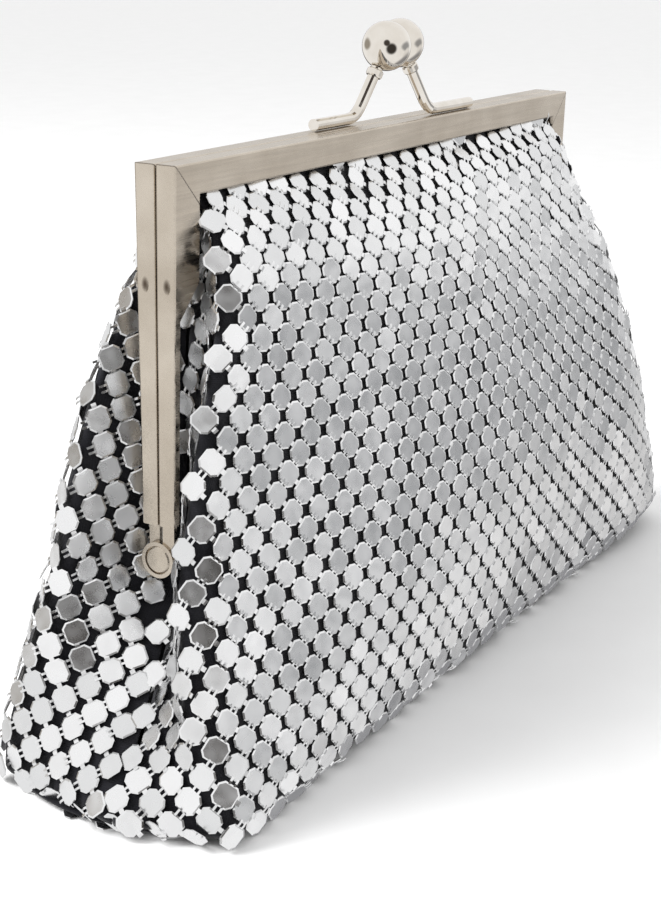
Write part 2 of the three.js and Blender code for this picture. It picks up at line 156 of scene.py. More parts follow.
def section_controls(z, face):
    """Control points of one face of the level section at heights z, as if it were the front."""
    left, right = measure(LEFT, z), measure(RIGHT, z)
    at_left, middle, at_right = (measure(face + k, z) for k in range(3))
    tight = np.interp(z, (4, 20, 50, 65, 92), (4.0, 8.5, 8.5, 6.0, 4.2))
    left_corner = np.minimum(0.42 * at_left, tight)
    right_corner = np.minimum(0.42 * at_right, 8.5 if face == BACK else 15.0)
    ends = (end_controls(z, left, measure(VALLEY_LEFT, z), valley_forward(z, face), at_left,
                         left_corner, -1),
            end_controls(z, right, measure(VALLEY_RIGHT, z), 0 * z, at_right, right_corner, 1))
    between = [
        np.stack([-0.5 * left, -at_left - 0.68 * (middle - at_left)], -1),
        np.stack([0 * middle, -middle], -1),
        np.stack([0.5 * right, -0.5 * (middle + at_right)], -1),
    ]
    return ends[0] + between + ends[1][::-1]


def across_valley(points, beside):
    """The point next to a valley, mirrored through the valley's plane."""
    out = beside.copy()
    out[..., 1] = 2 * points[..., 1] - beside[..., 1]
    return out


def smooth_through(points, samples):
    """A centripetal curve through the points; the first and the last only give directions."""
    pieces = []
    u = np.linspace(0, 1, samples, endpoint=False)[:, None, None]
    for p0, p1, p2, p3 in zip(points, points[1:], points[2:], points[3:]):
        gaps = [np.linalg.norm(b - a, axis=-1, keepdims=True) ** 0.5 + 1e-9
                for a, b in ((p0, p1), (p1, p2), (p2, p3))]
        before = (p1 - p0) / gaps[0] - (p2 - p0) / (gaps[0] + gaps[1]) + (p2 - p1) / gaps[1]
        after = (p2 - p1) / gaps[1] - (p3 - p1) / (gaps[1] + gaps[2]) + (p3 - p2) / gaps[2]
        before, after = before * gaps[1], after * gaps[1]
        pieces.append(
            (2 * u**3 - 3 * u**2 + 1) * p1 + (u**3 - 2 * u**2 + u) * before
            + (3 * u**2 - 2 * u**3) * p2 + (u**3 - u**2) * after
        )
    pieces.append(points[-2][None])
    return np.concatenate(pieces).transpose(1, 0, 2)


class Body:
    """One face of the bag as a function of (a, z): a is the distance round the level section
    from the face's middle, positive to the right. It is laid out as the front, and the back is
    turned over afterwards. Past a valley it goes on as its own mirror image."""

    LOW, HIGH, REACH, STEP = -8.0, 156.0, 230.0, 0.5

    def __init__(self, face):
        self.heights = np.arange(self.LOW, self.HIGH + self.STEP, self.STEP)
        controls = section_controls(self.heights, face)
        before = across_valley(controls[0], controls[1])
        after = across_valley(controls[-1], controls[-2])
        curve = smooth_through([before, *controls, after], 14)
        middle = curve.shape[1] // 2
        run = np.linalg.norm(np.diff(curve, axis=1), axis=2)
        along = np.concatenate([np.zeros((len(run), 1)), np.cumsum(run, axis=1)], axis=1)
        along -= along[:, middle:middle + 1]
        self.left_end, self.right_end = along[:, 0], along[:, -1]
        self.offsets = np.arange(-self.REACH, self.REACH + self.STEP, self.STEP)
        self.table = np.stack([self.resample(c, s) for c, s in zip(curve, along)])

    def resample(self, curve, along):
        s = self.offsets
        past_left, past_right = s < along[0], s > along[-1]
        inside = np.where(past_left, 2 * along[0] - s, np.where(past_right, 2 * along[-1] - s, s))
        x = np.interp(inside, along, curve[:, 0])
        y = np.interp(inside, along, curve[:, 1])
        y = np.where(past_left, 2 * curve[0, 1] - y, np.where(past_right, 2 * curve[-1, 1] - y, y))
        return np.stack([x, y], -1)

    def ends(self, z):
        return (np.interp(z, self.heights, self.left_end),
                np.interp(z, self.heights, self.right_end))

    def at(self, a, z):
        """Points of the surface, by interpolation in the table."""
        fa = np.clip((a + self.REACH) / self.STEP, 0, len(self.offsets) - 1.001)
        fz = np.clip((z - self.LOW) / self.STEP, 0, len(self.heights) - 1.001)
        ia, iz = fa.astype(int), fz.astype(int)
        ra, rz = (fa - ia)[..., None], (fz - iz)[..., None]
        t = self.table
        xy = ((t[iz, ia] * (1 - ra) + t[iz, ia + 1] * ra) * (1 - rz)
              + (t[iz + 1, ia] * (1 - ra) + t[iz + 1, ia + 1] * ra) * rz)
        return np.concatenate([xy, z[..., None]], -1)

    def tangents(self, a, z, h=0.7):
        across = (self.at(a + h, z) - self.at(a - h, z)) / (2 * h)
        up = (self.at(a, z + h) - self.at(a, z - h)) / (2 * h)
        return across, up

    def normal(self, a, z, h=0.9):
        n = np.cross(*self.tangents(a, z, h))
        return n / np.linalg.norm(n, axis=-1, keepdims=True)


FRONT_FACE, BACK_FACE = Body(FRONT), Body(BACK)


# ---- the lattice of plaques ----
def lattice_indices(columns, rows):
    """Column and row numbers of the lattice: every other square of a chequerboard."""
    i, j = np.meshgrid(np.arange(-columns, columns + 1), np.arange(rows), indexing="ij")
    keep = (i + j) % 2 == 0
    return i[keep], j[keep]


def neighbour_pairs(i, j, di, dj):
    """Pairs of points that lie one step (di, dj) apart."""
    index = {pair: k for k, pair in enumerate(zip(i.tolist(), j.tolist()))}
    found = [(k, index[(p + di, q + dj)]) for (p, q), k in index.items()
             if (p + di, q + dj) in index]
    return np.array(found)


def last_columns(body, beside=None):
    """The columns that fall on the two valleys near the floor. Beside another face they are
    even or odd as its own last columns are, so that the two lattices meet."""
    ends = [end[0] / HALF for end in body.ends(np.full(1, 6.0))]
    if beside is None:
        return [round(end) for end in ends]
    return [round((end - other) / 2) * 2 + other for end, other in zip(ends, beside)]


def springs_between(i, j):
    """Pairs of neighbours, how far apart they rest and how stiffly."""
    return [
        (neighbour_pairs(i, j, 1, 1), PITCH, 1.0),
        (neighbour_pairs(i, j, 1, -1), PITCH, 1.0),
        (neighbour_pairs(i, j, 2, 0), 2 * HALF, 0.25),
        (neighbour_pairs(i, j, 0, 2), 2 * HALF, 0.25),
    ]


def spring_push(p, springs):
    """How far the springs would move each point."""
    push, weight = np.zeros_like(p), np.zeros(len(p))
    for pairs, rest, stiffness in springs:
        one, two = pairs[:, 0], pairs[:, 1]
        gap = p[two] - p[one]
        length = np.linalg.norm(gap, axis=1, keepdims=True) + 1e-6
        move = 0.5 * stiffness * (1 - rest / length) * gap
        np.add.at(push, one, move)
        np.add.at(push, two, -move)
        np.add.at(weight, one, stiffness)
        np.add.at(weight, two, stiffness)
    return push / weight[:, None]


def flat_start(body, i, j):
    """The lattice as it would lie on a flat face, with its rows at their distances up it."""
    profile_z = np.linspace(body.LOW + 1, body.HIGH - 2, 1600)
    profile = body.at(0 * profile_z, profile_z)
    run = np.concatenate([[0], np.cumsum(np.linalg.norm(np.diff(profile, axis=0), axis=1))])
    run -= np.interp(0.0, profile_z, run)
    return HALF * i.astype(float), np.interp(HALF * j + FIRST_ROW, run, profile_z)


def laid_lattice(body, lasts):
    """Lays the flat lattice on a face so that neighbours keep their distance, the way the sheet
    of plaques wraps round the corners into the side pleats."""
    i, j = lattice_indices(COLUMNS, ROWS)
    a, z = flat_start(body, i, j)
    middle = np.abs(i) <= 1
    pin_a, pin_z = a[middle], z[middle]
    at_left, at_right = ((i == last) & (j < PINNED_ROWS) for last in lasts)
    springs = springs_between(i, j)
    speed_a, speed_z = np.zeros(len(i)), np.zeros(len(i))
    for _ in range(RELAX_STEPS):
        push = spring_push(body.at(a, z), springs)
        across, up = body.tangents(a, z)
        aa, zz, az = (across**2).sum(1), (up**2).sum(1), (across * up).sum(1)
        fa, fz = (push * across).sum(1), (push * up).sum(1)
        det = aa * zz - az**2 + 1e-6
        speed_a = 0.9 * speed_a + 0.6 * (zz * fa - az * fz) / det
        speed_z = 0.9 * speed_z + 0.6 * (aa * fz - az * fa) / det
        a, z = a + np.clip(speed_a, -1, 1), z + np.clip(speed_z, -1, 1)
        a[middle], z[middle] = pin_a, pin_z
        z = np.clip(z, body.LOW + 1, body.HIGH - 2)
        left_end, right_end = body.ends(z)
        a[at_left], a[at_right] = left_end[at_left], right_end[at_right]
    return i, j, a, z


def directions(i, j, p):
    """At each lattice point, the mean direction to its neighbours down the two diagonals."""
    out = []
    for di, dj in ((1, -1), (1, 1)):
        pairs = neighbour_pairs(i, j, di, dj)
        total = np.zeros_like(p)
        gap = p[pairs[:, 1]] - p[pairs[:, 0]]
        gap /= np.linalg.norm(gap, axis=1, keepdims=True)
        np.add.at(total, pairs[:, 0], gap)
        np.add.at(total, pairs[:, 1], gap)
        out.append(total)
    return out


def unit(v):
    return v / np.maximum(np.linalg.norm(v, axis=-1, keepdims=True), 1e-9)


def plaque_frames(p, n, diagonal, other):
    """Axes of each plaque: across towards the knuckle, along towards the tabs."""
    across = unit(diagonal - (diagonal * n).sum(1, keepdims=True) * n)
    along = unit(other - (other * n).sum(1, keepdims=True) * n)
    bisector = unit(across + along)
    spread = unit(across - along)
    across, along = unit(bisector + spread), unit(bisector - spread)
    return np.stack([across, along, np.cross(across, along)], 1)


def turned(frames, towards):
    """Tips each plaque so that its face turns by a small vector lying in its plane."""
    n = unit(frames[:, 2] + towards)
    across = unit(frames[:, 0] - (frames[:, 0] * n).sum(1, keepdims=True) * n)
    return np.stack([across, np.cross(n, across), n], 1)


def tilted(frames, spread):
    """Turns each plaque a little about a random axis in its own plane."""
    angle = RNG.normal(0, 1, (len(frames), 2)) * np.radians(spread)[:, None]
    return turned(frames, angle[:, :1] * frames[:, 0] + angle[:, 1:] * frames[:, 1])


def leaning(frames, columns):
    """Turns each plaque of the broad face a little towards the left end, as scales lie. At the
    left corner every other column is turned one way and the rest the other."""
    n = frames[:, 2]
    left = unit(-np.cross(n, np.array([0.0, 0.0, 1.0])) * np.sign(n[:, 1:2]))
    facing = np.clip((np.abs(n[:, 1]) - 0.72) / 0.2, 0, 1)
    corner = np.clip(1 - np.abs(n[:, 0] + 0.72) / 0.3, 0, 1)
    other_way = np.where(columns % 2 == 0, 1, -1) * 7.0
    angle = np.radians(LEAN * facing + other_way * corner)
    return turned(frames, left * np.tan(angle)[:, None])


# ---- plaque shape ----
def octagon(a, b, height):
    """A rectangle of half sizes a and b with cut corners."""
    c = CORNER_CUT * (a + b)
    ring = [(a, -b + c), (a, b - c), (a - c, b), (-a + c, b),
            (-a, b - c), (-a, -b + c), (-a + c, -b), (a - c, -b)]
    return [(x, y, height) for x, y in ring]


def plaque_template():
    """One plaque: a flat top, a sloping rim and a plain underside."""
    a, b = PLAQUE_ACROSS / 2, PLAQUE_ALONG / 2
    verts = octagon(a - BEVEL, b - BEVEL, 0)
    verts += octagon(a, b, -BEVEL_DROP)
    verts += octagon(a - 0.06, b - 0.06, -PLAQUE_THICKNESS)
    faces = [tuple(range(8))]
    for ring in (0, 8):
        faces += [(ring + k, ring + 8 + k, ring + 8 + (k + 1) % 8, ring + (k + 1) % 8)
                  for k in range(8)]
    faces.append(tuple(16 + k for k in reversed(range(8))))
    return np.array(verts, float), faces


def strap_template(centre, reach, width, thickness, axis, crown):
    """A short folded tab across the gap between two plaques, bowed up in its middle. It runs
    along the second axis if axis is true, and along the first otherwise."""
    verts = []
    for step, rise in ((-1, 0), (0, crown), (1, 0)):
        for w, h in ((-1, 0), (1, 0), (1, 1), (-1, 1)):
            run, side = step * reach, w * width / 2
            up = rise - BEVEL_DROP - 0.1 + h * thickness
            x, y = (side, run) if axis else (run, side)
            verts.append((centre[0] + x, centre[1] + y, up))
    faces = []
    for s in (0, 4):
        faces += [(s + k, s + (k + 1) % 4, s + 4 + (k + 1) % 4, s + 4 + k) for k in range(4)]
    faces += [(3, 2, 1, 0), (8, 9, 10, 11)]
    if axis:
        faces = [tuple(reversed(f)) for f in faces]
    return np.array(verts, float), faces


def joined(templates):
    verts, faces, start = [], [], 0
    for v, f in templates:
        verts.append(v)
        faces += [tuple(k + start for k in face) for face in f]
        start += len(v)
    return np.concatenate(verts), faces


def tab_template():
    """Two folded tabs reaching across the gap to one neighbour."""
    tabs = [strap_template((w, PITCH / 2), 0.95, 0.5, 0.16, True, 0.16) for w in (-0.62, 0.62)]
    return joined(tabs)


def knuckle_template():
    """The small knuckle across the gap to the other neighbour."""
    return strap_template((PITCH / 2, 0), 0.5, 1.1, 0.16, False, 0.1)


def copies(template, centres, frames, tones):
    """Points, corner indices, face sizes and tone of a template at every centre. One that would
    sink into the floor is raised to lie on it."""
    verts, faces = template
    count, size = len(centres), len(verts)
    placed = np.einsum("vk,pkx->pvx", verts, frames) + centres[:, None]
    sunk = np.minimum(placed[..., 2].min(axis=1) - 0.08, 0)
    placed[..., 2] -= sunk[:, None]
    loops = np.concatenate([np.array(f) for f in faces])
    all_loops = (loops[None] + np.arange(count)[:, None] * size).ravel()
    sizes = np.tile([len(f) for f in faces], count)
    return placed.reshape(-1, 3), all_loops, sizes, np.repeat(tones, size)


def plaques_mesh(name, centres, frames, linked_along, linked_across):
    """One object: a plaque at every lattice point, and its links to the neighbours it has."""
    tones = RNG.random(len(centres))
    sets = [copies(plaque_template(), centres, frames, tones)]
    for template, linked in ((tab_template(), linked_along), (knuckle_template(), linked_across)):
        sets.append(copies(template, centres[linked], frames[linked], tones[linked]))
    starts = np.cumsum([0] + [len(verts) for verts, *_ in sets])
    verts = np.concatenate([found[0] for found in sets]) * MM
    loops = np.concatenate([found[1] + start for found, start in zip(sets, starts)])
    sizes, tone = (np.concatenate([found[k] for found in sets]) for k in (2, 3))
    mesh = bpy.data.meshes.new(name)
    mesh.vertices.add(len(verts))
    mesh.vertices.foreach_set("co", verts.ravel())
    mesh.loops.add(len(loops))
    mesh.loops.foreach_set("vertex_index", loops)
    mesh.polygons.add(len(sizes))
    mesh.polygons.foreach_set("loop_start", np.concatenate([[0], np.cumsum(sizes)[:-1]]))
    mesh.update(calc_edges=True)
    mesh.polygons.foreach_set("use_smooth", [False] * len(sizes))
    values = mesh.attributes.new("tone", "FLOAT", "POINT")
    values.data.foreach_set("value", tone.astype(np.float32))
    mesh.validate()
    obj = bpy.data.objects.new(name, mesh)
    bpy.context.scene.collection.objects.link(obj)
    return obj


# ---- placing the plaques ----
def face_points(body, lasts, past):
    """The lattice points that carry a plaque, with their column numbers and the directions to
    their neighbours; a few lie just past a valley, where the other face leaves them room."""
    i, j, a, z = laid_lattice(body, lasts)
    p, n = body.at(a, z), body.normal(a, z)
    diagonal, other = directions(i, j, p)
    left_end, right_end = body.ends(z)
    reach = np.where(z < FULL_BELOW, past, REDUCED * past)
    reach = np.where(z < REDUCED_BELOW, reach, -STOP_SHORT)
    lowest = np.where(p[:, 0] < LEFT_END, LOWEST_AT_LEFT, LOWEST)
    keep = (a > left_end - reach) & (a < right_end + reach) & (z > lowest) & (z < HIGHEST)
    return i[keep], j[keep], p[keep], n[keep], diagonal[keep], other[keep]


def links(i, j, step):
    """Which plaques have a neighbour one diagonal step away."""
    kept = set(zip(i.tolist(), j.tolist()))
    return np.array([(p + step[0], q + step[1]) in kept for p, q in zip(i.tolist(), j.tolist())])


def mirrored(vectors):
    return vectors * np.array([1, -1, 1])


def clear_of(points, others, distance):
    """Which points are farther than a distance from every one of the others."""
    keep = np.ones(len(points), bool)
    for k, point in enumerate(points):
        keep[k] = np.min(np.linalg.norm(others - point, axis=1)) > distance
    return keep


def bend_spread(p, n):
    """Degrees of random tilt: little on the flat faces, more where the sheet is creased."""
    spread = np.zeros(len(p))
    for k in range(len(p)):
        near = np.linalg.norm(p - p[k], axis=1) < 7.0
        turn = np.degrees(np.arccos(np.clip(n[near] @ n[k], -1, 1)))
        spread[k] = 1.6 + 0.12 * min(turn.max(), 40)
    return spread


def build_plaques():
    """The plaques of the front, and those of the back where the front's leave room."""
    lasts = last_columns(FRONT_FACE)
    i, j, p, n, diagonal, other = face_points(FRONT_FACE, lasts, FRONT_PAST)
    frames = leaning(plaque_frames(p, n, diagonal, other), i)
    frames = tilted(frames, bend_spread(p, n))
    front = plaques_mesh("front_plaques", p, frames, links(i, j, (1, 1)), links(i, j, (1, -1)))
    lasts = last_columns(BACK_FACE, beside=lasts)
    i, j, bp, bn, diagonal, other = face_points(BACK_FACE, lasts, BACK_PAST)
    bp, bn, diagonal, other = (mirrored(v) for v in (bp, bn, diagonal, other))
    frames = leaning(plaque_frames(bp, bn, other, diagonal), i)
    frames = tilted(frames, bend_spread(bp, bn))
    keep = clear_of(bp, p, CLOSEST)
    i, j, bp, frames = i[keep], j[keep], bp[keep], frames[keep]
    back = plaques_mesh("back_plaques", bp, frames, links(i, j, (1, -1)), links(i, j, (1, 1)))
    return front, back


def base_edges(y, inset):
    """Where the flat underside ends at the left and right, at a distance y from the middle."""
    low = STATIONS[0]
    depth = np.where(y < 0, low[FRONT + 1], low[BACK + 1]) - inset
    corner = 7.0
    over = np.clip((np.abs(y) - depth + corner) / corner, 0, 1)
    short = corner * (1 - np.sqrt(1 - over**2)) + inset
    bulge = (low[VALLEY_LEFT] - low[LEFT]) * np.clip(1 - (y / 24) ** 2, 0, 1)
    return short - low[LEFT] - bulge, low[RIGHT] - short


def build_base():
    """Plaques under the bag, lying flat."""
    i, j = lattice_indices(40, 13)
    x, y = HALF * i.astype(float), HALF * (j - 6.0)
    left, right = base_edges(y, BASE_EDGE)
    low = STATIONS[0]
    keep = (x > left) & (x < right) & (y > BASE_EDGE - low[FRONT + 1]) & (y < low[BACK + 2] - 1.0)
    i, j, p = i[keep], j[keep], np.stack([x, y, np.full(len(x), 0.1)], 1)[keep]
    down = np.tile([0.0, 0.0, -1.0], (len(p), 1))
    diagonal, other = np.tile([1.0, 1.0, 0.0], (len(p), 1)), np.tile([1.0, -1.0, 0.0], (len(p), 1))
    frames = plaque_frames(p, down, unit(diagonal), unit(other))
    return plaques_mesh("base_plaques", p, frames, links(i, j, (1, -1)), links(i, j, (1, 1)))


# ---- lining ----
def sheet_object(name, grid, thickness_dir, thickness):
    """A closed thin sheet: the grid, its copy moved along the given directions, and a border."""
    rows, columns = grid.shape[:2]
    verts = np.concatenate([grid.reshape(-1, 3), (grid + thickness_dir * thickness).reshape(-1, 3)])
    faces = []
    second = rows * columns
    for r in range(rows - 1):
        for c in range(columns - 1):
            k = r * columns + c
            cell = (k, k + 1, k + columns + 1, k + columns)
            faces.append(cell)
            faces.append(tuple(second + q for q in reversed(cell)))
    border = list(range(columns - 1))
    border += [r * columns + columns - 1 for r in range(rows - 1)]
    border += [(rows - 1) * columns + c for c in range(columns - 1, 0, -1)]
    border += [r * columns for r in range(rows - 1, 0, -1)]
    for one, two in zip(border, border[1:] + border[:1]):
        faces.append((two, one, second + one, second + two))
    mesh = bpy.data.meshes.new(name)
    mesh.from_pydata((verts * MM).tolist(), [], faces)
    mesh.polygons.foreach_set("use_smooth", [True] * len(mesh.polygons))
    mesh.update()
    obj = bpy.data.objects.new(name, mesh)
    bpy.context.scene.collection.objects.link(obj)
    return obj


def puckers(a, z):
    """Small soft folds of the lining, in millimetres inwards."""
    folds = np.sin(a * 0.23 + 1.1 * np.sin(z * 0.05)) * np.sin(z * 0.11 + 0.7 * np.sin(a * 0.04))
    fine = np.sin(a * 0.71 + z * 0.19) * np.sin(z * 0.37 - a * 0.08)
    return 0.25 + 0.25 * folds + 0.1 * fine


def lining_half(name, body, flip):
    """The lining behind one face, kept on that face's own side of the left pleat."""
    heights = np.concatenate([np.linspace(1.6, 9, 6), np.linspace(11.5, 128, 48)])
    rows = []
    for z in heights:
        left, right = body.ends(z)
        share = np.linspace(0, 1, 101)
        a = left + 0.4 + (right - left - 0.8) * share
        zz = np.full(len(a), z)
        p, n = body.at(a, zz), body.normal(a, zz)
        inward = LINING_INSET + puckers(a, zz)
        point = p - n * inward[:, None]
        share_left = np.clip(-point[:, 0] / 60, 0, 1)
        limit = -share_left * valley_forward(zz, FRONT if not flip else BACK)
        point[:, 1] = np.minimum(point[:, 1], limit - 0.15)
        rows.append((point, n))
    grid = np.stack([r[0] for r in rows])
    normals = np.stack([r[1] for r in rows])
    grid[..., 2] = np.maximum(grid[..., 2], 1.6)
    if flip:
        grid, normals = mirrored(grid)[:, ::-1], mirrored(normals)[:, ::-1]
    return sheet_object(name, grid, -normals, LINING_THICKNESS)


def lining_base():
    """The lining over the base, slightly rippled."""
    low = STATIONS[0]
    rows = []
    for y in np.linspace(0.6 - low[FRONT + 1], low[BACK + 1] - 0.6, 15):
        left, right = base_edges(y, 0.6)
        x = np.linspace(left, right, 61)
        z = 1.2 + 0.12 * np.sin(x * 0.16) * np.cos(y * 0.21)
        rows.append(np.stack([x, np.full(61, y), z], 1))
    grid = np.stack(rows)
    up = np.zeros_like(grid)
    up[..., 2] = 1
    return sheet_object("base_cloth", grid, up, LINING_THICKNESS)


# ---- materials ----
def new_material(name, base, metallic, roughness):
    material = bpy.data.materials.new(name)
    material.use_nodes = True
    shader = material.node_tree.nodes["Principled BSDF"]
    shader.inputs["Base Color"].default_value = (*base, 1)
    shader.inputs["Metallic"].default_value = metallic
    shader.inputs["Roughness"].default_value = roughness
    return material, shader


def wire(material, source, output, target, socket):
    material.node_tree.links.new(source.outputs[output], target.inputs[socket])


def place(material, scale):
    """Positions on the object, scaled, for the textures."""
    coordinates = material.node_tree.nodes.new("ShaderNodeTexCoord")
    mapping = material.node_tree.nodes.new("ShaderNodeMapping")
    mapping.inputs["Scale"].default_value = scale
    wire(material, coordinates, "Object", mapping, "Vector")
    return mapping


def noise(material, mapping, scale, detail=2.0):
    node = material.node_tree.nodes.new("ShaderNodeTexNoise")
    node.inputs["Scale"].default_value = scale
    node.inputs["Detail"].default_value = detail
    wire(material, mapping, "Vector", node, "Vector")
    return node


def ranged(material, source, output, low, high, start=0.0, end=1.0):
    node = material.node_tree.nodes.new("ShaderNodeMapRange")
    for socket, value in (("From Min", start), ("From Max", end), ("To Min", low), ("To Max", high)):
        node.inputs[socket].default_value = value
    wire(material, source, output, node, "Value")
    return node


def ramp(material, source, output, dark, light, start=0.3, end=0.7):
    node = material.node_tree.nodes.new("ShaderNodeValToRGB")
    low, high = node.color_ramp.elements
    low.position, low.color = start, (*dark, 1)
    high.position, high.color = end, (*light, 1)
    wire(material, source, output, node, "Fac")
    return node


def bump(material, shader, source, output, strength, distance, before=None):
    node = material.node_tree.nodes.new("ShaderNodeBump")
    node.inputs["Strength"].default_value = strength
    node.inputs["Distance"].default_value = distance
    wire(material, source, output, node, "Height")
    if before:
        wire(material, before, "Normal", node, "Normal")
    wire(material, node, "Normal", shader, "Normal")
    return node


def plaque_metal():
    """Bright aluminium, each plaque in its own tone."""
    material, shader = new_material("plaque_aluminium", (0.86, 0.87, 0.88), 1.0, 0.2)
    tone = material.node_tree.nodes.new("ShaderNodeAttribute")
    tone.attribute_name = "tone"
    colour = ramp(material, tone, "Fac", (0.76, 0.765, 0.77), (0.95, 0.95, 0.955), 0.0, 1.0)
    wire(material, colour, "Color", shader, "Base Color")
    smudge = noise(material, place(material, (1, 1, 1)), 260, 3)
    rough = ranged(material, smudge, "Fac", 0.22, 0.34, 0.3, 0.7)
    wire(material, rough, "Result", shader, "Roughness")
    ripple = noise(material, place(material, (1, 1, 1)), 190, 1)
    bump(material, shader, ripple, "Fac", 0.5, 0.0003)
    return material


def calc(material, operation, *terms):
    """A math node fed with nodes' outputs or numbers."""
    node = material.node_tree.nodes.new("ShaderNodeMath")
    node.operation = operation
    for socket, term in zip(node.inputs, terms):
        if isinstance(term, (int, float)):
            socket.default_value = term
        else:
            material.node_tree.links.new(term, socket)
    return node.outputs[0]


def frame_marks(material):
    """Height of the mitre lines at the frame's corners and of the crimps on its end faces:
    one away from them, nothing in them. Positions are in metres on the frame."""
    spot = material.node_tree.nodes.new("ShaderNodeSeparateXYZ")
    coordinates = material.node_tree.nodes.new("ShaderNodeTexCoord")
    wire(material, coordinates, "Object", spot, "Vector")
    x = calc(material, "ABSOLUTE", spot.outputs["X"])
    y = calc(material, "ABSOLUTE", spot.outputs["Y"])
    z = spot.outputs["Z"]
    diagonal = calc(material, "ABSOLUTE", calc(material, "ADD", calc(material, "SUBTRACT", x, z),
                                               0.034))
    mitre = calc(material, "DIVIDE", diagonal, 0.00022)
    aside = calc(material, "DIVIDE", calc(material, "SUBTRACT", y, 0.00265), 0.0009)
    above = calc(material, "DIVIDE", calc(material, "SUBTRACT", z, 0.1082), 0.0017)
    inner = calc(material, "DIVIDE", calc(material, "SUBTRACT", x, 0.0985), 0.0006)
    crimp = calc(material, "ADD", calc(material, "MULTIPLY", aside, aside),
                 calc(material, "MULTIPLY", above, above))
    crimp = calc(material, "ADD", crimp, calc(material, "MULTIPLY", inner, inner))
    return calc(material, "MINIMUM", calc(material, "MINIMUM", mitre, crimp), 1.0)


def frame_nickel():
    """Brushed nickel with streaks along the bar, a dark seam along each mitre line and painted shade in
    the crimps.
    """
    material, shader = new_material("brushed_nickel", (0.60, 0.55, 0.49), 1.0, 0.26)
    cloud = noise(material, place(material, (1, 1, 1)), 60, 4)
    colour = ramp(material, cloud, "Fac", (0.52, 0.455, 0.375), (0.68, 0.61, 0.52))
    marks = frame_marks(material)
    # dark colour at the marks: a dark seam along each mitre line, and painted shade in the crimp
    # dimples
    wear_and_painted_shade = material.node_tree.nodes.new("ShaderNodeMix")
    wear_and_painted_shade.data_type = "RGBA"
    wear_and_painted_shade.inputs["A"].default_value = (0.10, 0.075, 0.055, 1)
    material.node_tree.links.new(marks, wear_and_painted_shade.inputs["Factor"])
    material.node_tree.links.new(colour.outputs["Color"], wear_and_painted_shade.inputs["B"])
    material.node_tree.links.new(wear_and_painted_shade.outputs["Result"], shader.inputs["Base Color"])
    streaks = noise(material, place(material, (8, 260, 260)), 6, 4)
    rough = ranged(material, streaks, "Fac", 0.2, 0.34, 0.3, 0.7)
    wire(material, rough, "Result", shader, "Roughness")
    first = bump(material, shader, streaks, "Fac", 0.12, 0.00005)
    dent = material.node_tree.nodes.new("ShaderNodeBump")
    dent.inputs["Strength"].default_value = 0.8
    dent.inputs["Distance"].default_value = 0.0003
    material.node_tree.links.new(marks, dent.inputs["Height"])
    wire(material, first, "Normal", dent, "Normal")
    wire(material, dent, "Normal", shader, "Normal")
    return material


def clasp_nickel():
    """Polished nickel with a little haze."""
    material, shader = new_material("polished_clasp_nickel", (0.80, 0.76, 0.70), 1.0, 0.05)
    haze = noise(material, place(material, (1, 1, 1)), 180, 3)
    rough = ranged(material, haze, "Fac", 0.03, 0.09, 0.35, 0.7)
    wire(material, rough, "Result", shader, "Roughness")
    colour = ramp(material, haze, "Fac", (0.74, 0.69, 0.62), (0.84, 0.80, 0.74))
    wire(material, colour, "Color", shader, "Base Color")
    return material


def lining_cloth():
    """Plain black weave."""
    material, shader = new_material("black_lining", (0.008, 0.008, 0.012), 0.0, 0.7)
    shader.inputs["Sheen Weight"].default_value = 0.15
    shader.inputs["Specular IOR Level"].default_value = 0.25
    warp = material.node_tree.nodes.new("ShaderNodeTexWave")
    warp.inputs["Scale"].default_value = 900
    warp.inputs["Distortion"].default_value = 0.4
    wire(material, place(material, (1, 1, 1)), "Vector", warp, "Vector")
    weft = material.node_tree.nodes.new("ShaderNodeTexWave")
    weft.bands_direction = "Z"
    weft.inputs["Scale"].default_value = 900
    weft.inputs["Distortion"].default_value = 0.4
    wire(material, place(material, (1, 1, 1)), "Vector", weft, "Vector")
    first = bump(material, shader, warp, "Fac", 0.5, 0.0001)
    bump(material, shader, weft, "Fac", 0.5, 0.0001, first)
    wear_and_painted_shade = noise(material, place(material, (1, 1, 1)), 90, 3)
    colour = ramp(material, wear_and_painted_shade, "Fac", (0.004, 0.004, 0.007), (0.014, 0.014, 0.018))
    wire(material, colour, "Color", shader, "Base Color")
    return material


def paper_cord():
    """Brown twisted paper."""
    material, shader = new_material("paper_cord", (0.45, 0.36, 0.22), 0.0, 0.9)
    twist = material.node_tree.nodes.new("ShaderNodeTexWave")
    twist.bands_direction = "DIAGONAL"
    twist.inputs["Scale"].default_value = 500
    wire(material, place(material, (1, 1, 1)), "Vector", twist, "Vector")
    colour = ramp(material, twist, "Fac", (0.36, 0.28, 0.17), (0.50, 0.41, 0.27), 0.1, 0.9)
    wire(material, colour, "Color", shader, "Base Color")
    bump(material, shader, twist, "Fac", 0.6, 0.0002)
    return material


def set_material(obj, material):
    obj.data.materials.clear()
    obj.data.materials.append(material)


# ---- stage ----
def quad(name, corners, material):
    mesh = bpy.data.meshes.new(name)
    mesh.from_pydata([tuple(c * MM for c in p) for p in corners], [], [(0, 1, 2, 3)])
    obj = bpy.data.objects.new(name, mesh)
    bpy.context.scene.collection.objects.link(obj)
    set_material(obj, material)
    return obj


def floor_material():
    material, shader = new_material("floor_white", (0.93, 0.93, 0.93), 0.0, 0.6)
    grain = noise(material, place(material, (1, 1, 1)), 40, 2)
    colour = ramp(material, grain, "Fac", (0.92, 0.92, 0.92), (0.94, 0.94, 0.94))
    wire(material, colour, "Color", shader, "Base Color")
    shader.inputs["Specular IOR Level"].default_value = 0.2
    return material


